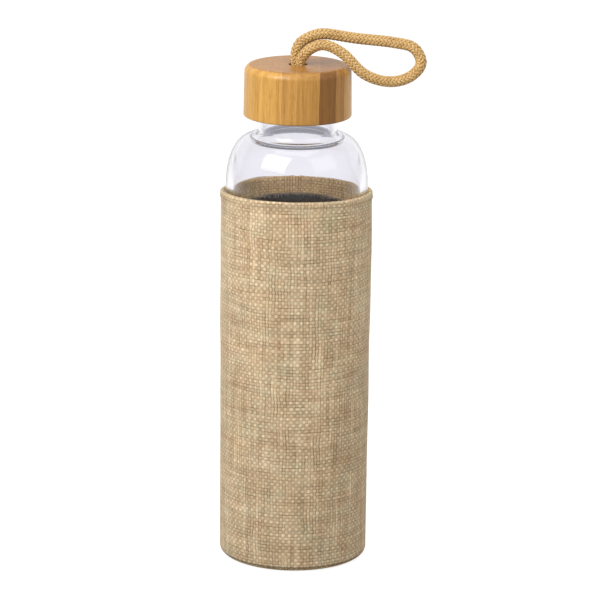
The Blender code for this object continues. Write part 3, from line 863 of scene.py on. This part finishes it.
def build_fringe(material):
    """Short loose yarn ends along the raw edge of the hem, inside the sleeve."""
    dice = np.random.default_rng(3)
    count = 2 * WARP_YARNS
    starts, ends = [], []
    for k in range(count):
        angle = 2 * math.pi * (k + dice.uniform(-0.3, 0.3)) / count
        edge = HEM_EDGE - 0.55 * back_dip(angle)
        length = dice.uniform(0.5, 1.7) * MM
        lean = dice.uniform(-0.25, 0.25) * length / HEM_BORE
        starts.append(ring_place(HEM_BORE - 0.05 * MM, angle, edge + 0.35 * MM))
        ends.append(ring_place(HEM_BORE - 0.10 * MM, angle + lean, edge - length))
    fringe = rods("hem_raw_edge", starts, ends, 0.17 * MM, sides=5)
    return finish_piece(fringe, "sleeve", "woven_fabric", material)


def build_lining(material):
    """The black lining tube, softly puckered, and its floor."""
    low, high = LINING_LOW.z, LINING_HIGH.z
    outer, inner = SLEEVE_BORE - 0.25 * MM, LINING_HIGH.x - 0.40 * MM
    outline = [(inner, low), (outer, low), (outer, high), (inner, high)]
    profile = densified(outline, 2.5 * MM)
    columns = 192
    points = turned(profile, columns)
    angle = around(columns)
    pucker = 0.06 * MM * waves(angle, profile[:, 1:], 9, 24, 30 * MM)
    points[:, :, 0] += pucker * np.cos(angle)
    points[:, :, 1] += pucker * np.sin(angle)
    near_top = np.clip((profile[:, 1:] - high + 12 * MM) / (12 * MM), 0, 1)
    dip = -0.58 * back_dip(angle) + 0.2 * MM * waves(angle, 0 * angle, 4, 12)
    points[:, :, 2] += near_top * np.minimum(dip, 0.15 * MM)
    tube = surface("lining_tube", points)
    finish_piece(sharpen(tube), "sleeve", "black_lining", material, "sleeve_lining")

    low_corner, high_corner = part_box("sleeve_base_lining")
    rings = np.linspace(HAIR, high_corner.x, 16)
    outline = [(r, low_corner.z) for r in rings] + [(r, high_corner.z) for r in rings[::-1]]
    floor = turned_piece("lining_floor", outline, 96)
    finish_piece(sharpen(floor), "sleeve", "black_lining", material, "sleeve_base_lining")


# ---------------------------------------------------------------- bottle and cap


def ridge(radius, height, angle, wall, crest, start_height, start_angle, turns):
    """How far a wall at these heights and angles stands out towards a helical thread's crest."""
    reach = np.zeros(np.broadcast(height, angle).shape)
    end_angle = start_angle + 2 * math.pi * turns
    for lap in range(-1, 4):
        swept = angle + 2 * math.pi * lap
        away = np.abs(height - start_height - PITCH * swept / (2 * math.pi))
        ends = np.clip((swept - start_angle) / 0.4, 0, 1) * np.clip((end_angle - swept) / 0.4, 0, 1)
        reach = np.maximum(reach, eased((1.2 * MM - away) / (0.75 * MM)) * ends)
    on_wall = np.abs(radius - wall) < HAIR
    return reach * on_wall * (crest - wall)


def threaded(name, profile, columns, thread):
    """A turned solid whose wall at radius thread[0] carries a helical ridge."""
    radius, angle, height = profile[:, :1], around(columns), profile[:, 1:]
    return surface(name, wrapped(radius + ridge(radius, height, angle, *thread), angle, height))


def build_glass(material):
    """The bottle, hollow, with an evenly thick side, a thinner domed shoulder and a screw finish."""
    floor, radius, rim = GLASS_LOW.z, GLASS_HIGH.x, GLASS_HIGH.z
    bore = radius - SIDE_WALL
    corner = GLASS_CORNER - 1 * MM
    bottom = floor + GLASS_BASE
    crown = NECK_RADIUS + NECK_FILLET
    outline = [(HAIR, floor + PUSH_UP), (FOOT_RADIUS * 0.6, floor + PUSH_UP * 0.75)]
    outline += [(FOOT_RADIUS - 1.5 * MM, floor + 0.25 * MM), (FOOT_RADIUS, floor)]
    outline += arc(radius - GLASS_CORNER, floor + GLASS_CORNER, GLASS_CORNER, -90, 0, 14)
    shoulder = dome(crown, DOME_TOP, radius, DOME_START, 44)
    outline += shoulder[::-1]
    outline += arc(crown, DOME_TOP + NECK_FILLET, NECK_FILLET, -90, -180, 8)[1:]
    outline += arc(NECK_RADIUS - LIP_ROUND, rim - LIP_ROUND, LIP_ROUND, 0, 90, 6)
    outline += arc(NECK_BORE + LIP_ROUND, rim - LIP_ROUND, LIP_ROUND, 90, 180, 6)
    outline += arc(crown, DOME_TOP + NECK_FILLET, crown - NECK_BORE, 180, 270, 12)
    outline += inset(shoulder, DOME_WALL, SIDE_WALL)[1:]
    outline += arc(bore - corner, bottom + corner, corner, 0, -90, 10)
    outline += [(HAIR, bottom + PUSH_UP / 2)]
    profile = densified(outline, 6 * MM)
    neck = (np.abs(profile[:, 0] - NECK_RADIUS) < HAIR) & (profile[:, 1] > DOME_TOP)
    first, last = np.flatnonzero(neck)[[0, -1]]
    fine = densified(profile[first : last + 1], THREAD_STEP)
    profile = np.concatenate([profile[:first], fine, profile[last + 1 :]])
    thread = (NECK_RADIUS, GLASS_THREAD_CREST, GLASS_THREAD_HEIGHT, 0.0, 1.1)
    bottle = threaded("bottle_glass", profile, 256, thread)
    return finish_piece(bottle, "bottle", "clear_glass", material, "glass_bottle")


def build_cap(bamboo, plastic, rubber):
    """The turned cap, the threaded liner pressed up inside it, and the seal."""
    top, bottom = CAP_HIGH.z, CAP_LOW.z
    cavity = top - CAP_TOP_WALL
    hole = CORD_HOLE - 0.35 * MM
    outline = [(hole, cavity)]
    outline += arc(hole + 0.5 * MM, top - 0.5 * MM, 0.5 * MM, 180, 90, 5)
    outline += arc(CAP_TOP_RADIUS - CAP_FILLET, top - CAP_FILLET, CAP_FILLET, 90, 0, 16)
    outline += arc(CAP_HIGH.x - CAP_BOTTOM_ROUND, bottom + CAP_BOTTOM_ROUND, CAP_BOTTOM_ROUND, 0, -90, 6)
    outline += [(CAP_BORE, bottom), (CAP_BORE, CAP_BORE_TOP)]
    outline += [(KNOT_CAVITY, CAP_BORE_TOP), (KNOT_CAVITY, cavity)]
    cap = turned_piece("cap_wood", outline, 192, 1.5 * MM)
    finish_piece(sharpen(cap, 50), "cap", "bamboo", bamboo, "bamboo_cap")

    disc = LINER_HIGH.z - 1.4 * MM
    edge = 0.3 * MM
    outline = [(HAIR, LINER_HIGH.z)]
    outline += arc(LINER_HIGH.x - edge, LINER_HIGH.z - edge, edge, 90, 0, 3)
    outline += arc(LINER_HIGH.x - edge, LINER_LOW.z + edge, edge, 0, -90, 3)
    outline += [(LINER_BORE, LINER_LOW.z), (LINER_BORE, disc), (HAIR, disc)]
    thread = (LINER_BORE, LINER_THREAD_CREST, GLASS_THREAD_HEIGHT - PITCH / 2, math.radians(160), 1.05)
    liner = threaded("cap_inner_liner", densified(outline, THREAD_STEP), 144, thread)
    finish_piece(sharpen(liner, 50), "cap", "liner_plastic", plastic, "cap_liner")

    inner, outer = SEAL_INNER + edge, SEAL_HIGH.x - edge
    low, high = SEAL_LOW.z + edge, SEAL_HIGH.z - edge
    outline = arc(outer, low, edge, -90, 0, 4) + arc(outer, high, edge, 0, 90, 4)
    outline += arc(inner, high, edge, 90, 180, 4) + arc(inner, low, edge, 180, 270, 4)
    finish_piece(turned_piece("seal", outline, 96), "seal", "silicone", rubber, "seal_ring")


# ---------------------------------------------------------------- cord


def spline(points, place):
    """A point of the smooth curve through the points. A whole number is the point of that index."""
    index = int(min(max(math.floor(place), 0), len(points) - 2))
    t = place - index
    b, c = points[index], points[index + 1]
    a = points[index - 1] if index else 2 * b - c
    d = points[index + 2] if index + 2 < len(points) else 2 * c - b
    return 0.5 * (2 * b + (c - a) * t + (2 * a - 5 * b + 4 * c - d) * t**2 + (3 * b - a - 3 * c + d) * t**3)


def cord_path():
    """Evenly spaced stations along the whole cord, from the knot up, round the loop and down again."""
    points = [np.array(p) * MM + np.array([0, 0, CAP_HIGH.z]) for p in LOOP_POINTS]
    fine = np.array([spline(points, t) for t in np.linspace(0, len(points) - 1, 1200)])
    along = np.concatenate([[0], np.cumsum(np.linalg.norm(np.diff(fine, axis=0), axis=1))])
    stations = np.arange(0, along[-1], BRAID_STEP)
    return np.stack([np.interp(stations, along, fine[:, k]) for k in range(3)], 1), stations


def braid(name, path, stations, frames, spread, keep, carriers=BRAID_CARRIERS, size=1.0):
    """A tubular braid: yarns winding both ways round the path, each passing over two and under two in turn.

    frames holds two directions across the path at each station, spread how wide the cord is along each,
    and keep the stretches of stations to build, each a (first, last) pair.
    """
    lay = BRAID_LAY * size
    crossing = lay / (2 * carriers)
    middle, sway = 1.92 * MM * size, 0.26 * MM * size
    half_width, half_depth = 0.66 * MM * size, 0.42 * MM * size
    wide, deep = frames[0] * spread[:, :1], frames[1] * spread[:, 1:]
    round_yarn = -around(6)
    underside_shade = 0.65 + 0.35 * np.sin(round_yarn)
    grids, uvs = [], []
    for way in (1, -1):
        for k in range(carriers):
            turn = 2 * math.pi * k / carriers + way * 2 * math.pi * stations / lay
            phase = way * math.pi * stations / (2 * crossing) + math.pi * k + math.pi / 4
            lift = way * np.cos(phase)
            outward = np.cos(turn)[:, None] * wide + np.sin(turn)[:, None] * deep
            centre = path + (middle + sway * lift)[:, None] * outward
            tangent = unit(np.gradient(centre, axis=0))
            across = unit(np.cross(tangent, outward))
            up = np.cross(across, tangent)
            sideways = half_width * np.cos(round_yarn)[:, None] * across[:, None]
            yarn = centre[:, None] + sideways + half_depth * np.sin(round_yarn)[:, None] * up[:, None]
            # The UV's second value carries painted shade: low where the yarn dives under and on its
            # underside.
            shown = (0.5 + 0.5 * lift)[:, None] * underside_shade
            uv = np.stack(np.broadcast_arrays(stations[:, None] / MM, shown), -1)
            grids += [yarn[low:high] for low, high in keep]
            uvs += [uv[low:high] for low, high in keep]
    return tubes(name, grids, uvs)


def cord_frames(path):
    """Two directions across the path: one in the loop's upright plane and one out of it."""
    tangent = unit(np.gradient(path, axis=0))
    first = unit(np.cross(tangent, np.array([0.0, 1.0, 0.0])))
    return first, np.cross(tangent, first)


def core(name, path, frames, spread, keep):
    """The cord's inside, seen only between the yarns: a core painted darker than the yarns as painted shade.
    """
    turns = around(10)[:, None]
    first, second = (frame * spread[:, k, None] for k, frame in enumerate(frames))
    grid = path[:, None] + CORE_RADIUS * (np.cos(turns) * first[:, None] + np.sin(turns) * second[:, None])
    return tubes(name, [grid[low:high] for low, high in keep])


def build_cord(material, dark):
    """The braided loop in two pieces, each with its core, and the knot under the cap."""
    path, stations = cord_path()
    frames = cord_frames(path)
    rising_side = np.arange(len(path)) < len(path) // 2
    reach = path[:, 0] / MM
    top = CAP_HIGH.z
    out = np.clip((reach - 25) / 25, 0, 1)
    in_hole = np.clip((top + 3 * MM - path[:, 2]) / (3 * MM), 0, 1) * (reach < 8)
    thinner = 1 - 0.17 * in_hole
    spread = np.stack([(1.0 + 0.03 * out) * thinner, (1.0 - 0.03 * out) * thinner], 1)
    below = (path[:, 2] < top + 5.2 * MM) & (reach < 8)
    rising = np.flatnonzero(below & rising_side)[-1]
    falling = np.flatnonzero(below & ~rising_side)[0]
    lower = [(0, rising + 1), (falling, len(path))]
    upper = [(rising, falling + 1)]
    sway = (0, 0, top + 0.4 * MM), (0, 0, top + 4.8 * MM)
    flex = (1.6 * MM, 0, top + 5.8 * MM), (14 * MM, 0, top + 13 * MM)
    strands = ("cord_knot", "cord_back_strand", "cord_front_strand")
    pieces = (
        ("cord_rising_strands", lower, "cord_anchor", "cord_rise", sway, strands),
        ("cord_hanging_loop", upper, "cord_rise", "cord_bight", flex, ("cord_loop",)),
    )
    for name, keep, first, second, (start, end), nodes in pieces:
        yarns = braid(name, path, stations, frames, spread, keep)
        finish_piece(yarns, None, "braided_cord", material)
        inside = core(name + "_core", path, frames, spread, keep)
        finish_piece(inside, None, "braided_cord", dark)
        for piece in (yarns, inside):
            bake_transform(piece)
        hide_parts(*nodes)
    build_knot(material)


def build_knot(material):
    """The tied end of the cord in its cavity, as a smaller braid round a trefoil."""
    count = 420
    t = around(count)
    path = np.stack([np.sin(t) + 2 * np.sin(2 * t), np.cos(t) - 2 * np.cos(2 * t), 0 * t], 1) * KNOT_SCALE
    path[:, 2] = -KNOT_LIFT * np.sin(3 * t)
    tangent = unit(np.gradient(np.concatenate([path[-1:], path, path[:1]]), axis=0)[1:-1])
    first = unit(np.cross(path, tangent))
    frames = first, np.cross(tangent, first)
    stations = np.concatenate([[0], np.cumsum(np.linalg.norm(np.diff(path, axis=0), axis=1))])
    path[:, 2] += KNOT_HEIGHT
    whole = [(0, count)]
    knot = braid("cord_tied_end", path, stations, frames, np.ones((count, 2)), whole, carriers=6, size=0.44)
    finish_piece(knot, "cord_anchor", "braided_cord", material)


# ---------------------------------------------------------------- studio


def build_camera():
    """The camera at the reference viewing angle: a long lens, a little above the bottle and tilted down."""
    pitch, yaw, roll = math.radians(14.66), math.radians(0.076), math.radians(0.681)
    data = bpy.data.cameras.new("camera")
    data.lens = 216
    data.sensor_width = 36
    data.clip_start = 0.1
    data.clip_end = 60
    camera = bpy.data.objects.new("camera", data)
    bpy.context.scene.collection.objects.link(camera)
    place = Matrix.Translation((0, -1.6, 0.538884))
    turn = Matrix.Rotation(-yaw, 4, "Z") @ Matrix.Rotation(math.pi / 2 - pitch, 4, "X")
    camera.matrix_world = place @ turn @ Matrix.Rotation(roll, 4, "Z")
    bpy.context.scene.camera = camera
    bpy.context.view_layer.update()
    return camera


def softbox(name, camera, azimuth, elevation, distance, width, height, power, mirrored=True):
    """A rectangular lamp aimed at the shoulder of the bottle, kept in place relative to the camera.

    Glossy surfaces show it only if it is mirrored.
    """
    aim = Vector((0, 0, 0.18))
    a, e = math.radians(azimuth), math.radians(elevation)
    towards = Vector((math.sin(a) * math.cos(e), -math.cos(a) * math.cos(e), math.sin(e)))
    data = bpy.data.lights.new(name, "AREA")
    data.shape = "RECTANGLE"
    data.size, data.size_y = width, height
    data.energy = power
    lamp = bpy.data.objects.new(name, data)
    bpy.context.scene.collection.objects.link(lamp)
    lamp.location = aim + towards * distance
    lamp.rotation_mode = "QUATERNION"
    lamp.rotation_quaternion = towards.to_track_quat("Z", "Y")
    lamp.visible_camera = False
    lamp.visible_glossy = mirrored
    bpy.context.view_layer.update()
    lamp.parent = camera
    lamp.matrix_parent_inverse = camera.matrix_world.inverted()


def build_world():
    """White behind the object as the camera sees it, and grey to the sides and behind the camera. Matte
    surfaces get a warmer, brighter light from there than glossy ones show.
    """
    g = Graph("studio", world=True)
    _, _, ahead = g.parts(g.place("Camera"))
    path = g.tree.nodes.new("ShaderNodeLightPath")
    sides = g.mix(path.outputs["Is Diffuse Ray"], (0.58, 0.57, 0.58), (0.86, 0.83, 0.79))
    white = g.range(ahead, 0.1, 0.92, kind="SMOOTHSTEP")
    bpy.context.scene.world = g.set(Color=g.mix(white, sides, (1.0, 1.0, 1.0)), Strength=1.0)


def build_studio():
    """The floor, the lamps, the world and the camera."""
    camera = build_camera()
    side = 4.0
    corners = np.array([(-side, -side, 0), (side, -side, 0), (side, side, 0), (-side, side, 0)])
    floor = add_mesh("floor", corners, [(0, 1, 2, 3)])
    floor.data.materials.append(floor_material())
    floor.location.z = -0.2 * MM
    softbox("key", camera, -43, 36, 0.9, 0.50, 0.42, 4.2)
    softbox("key_edge", camera, -43, 36, 0.92, 0.72, 0.62, 4.6)
    softbox("fill", camera, 55, 30, 1.2, 1.0, 0.8, 3.6, mirrored=False)
    softbox("fill_edge", camera, 50, 33, 1.2, 0.7, 0.6, 0.35)
    softbox("top", camera, -20, 82, 1.0, 0.9, 0.7, 2.1)
    build_world()
    scene = bpy.context.scene
    scene.view_settings.view_transform = "Standard"
    scene.cycles.max_bounces = 24
    scene.cycles.transmission_bounces = 24
    scene.cycles.transparent_max_bounces = 16


def main():
    woven = woven_material()
    thread = thread_material("hem_thread", (0.40, 0.32, 0.20), (0.26, 0.20, 0.12))
    dark_thread = thread_material("seam_thread", (0.24, 0.18, 0.11), (0.13, 0.095, 0.055))
    build_cloth(woven)
    build_base(woven)
    build_stitches(thread, dark_thread)
    build_fringe(thread)
    build_lining(lining_material())
    build_glass(glass_material())
    plastic = soft_material("liner_plastic", (0.84, 0.84, 0.81), 0.42)
    rubber = soft_material("silicone", (0.80, 0.80, 0.77), 0.5, 0.15)
    build_cap(bamboo_material(), plastic, rubber)
    # The cord's core is painted darker than its yarns, as painted shade between them.
    build_cord(cord_material(), thread_material("cord_core_painted_shade", (0.30, 0.15, 0.045), (0.19, 0.09, 0.025)))
    build_studio()


main()
bpy.context.view_layer.update()
